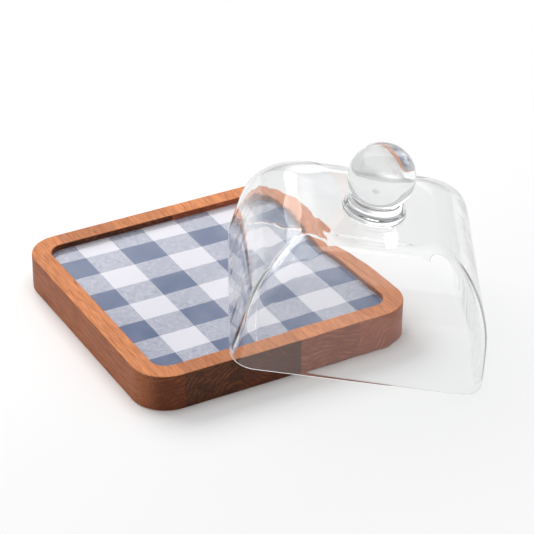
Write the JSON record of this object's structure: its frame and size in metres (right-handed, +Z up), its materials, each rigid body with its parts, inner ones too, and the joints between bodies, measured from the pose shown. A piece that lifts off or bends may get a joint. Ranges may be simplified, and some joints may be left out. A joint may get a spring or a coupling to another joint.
{
  "type": "cheese dome",
  "caption": "Square clear glass dome with a ball knob, leaning on a square wooden tray whose recess holds checked cloth under clear resin.",
  "frame": {"origin": "centre of the tray's flat underside", "axes": "+X right along the tray's front edge, +Y to its back along the wood's grain, +Z up"},
  "size_m": [0.2769, 0.2812, 0.1475],
  "materials": {
    "acacia_wood": "oiled, open grain along Y, satin",
    "checked_cloth": "plain woven gingham check in washed indigo and off-white",
    "clear_resin": "clear, poured, glossy",
    "clear_glass": "clear pressed glass, fire polished"
  },
  "bodies": {
    "tray": {"tray_stave_1": "acacia_wood", "tray_stave_2": "acacia_wood", "tray_stave_3": "acacia_wood", "tray_stave_4": "acacia_wood", "tray_stave_5": "acacia_wood", "gingham_cloth": "checked_cloth", "resin_layer": "clear_resin"},
    "dome": {"dome_shell": "clear_glass", "dome_knob": "clear_glass"}
  },
  "joints": [
    {"name": "dome_lift", "type": "slide", "parent": "tray", "child": "dome", "axis": [0, 0, 1], "range_m": [0, 0.15]}
  ]
}
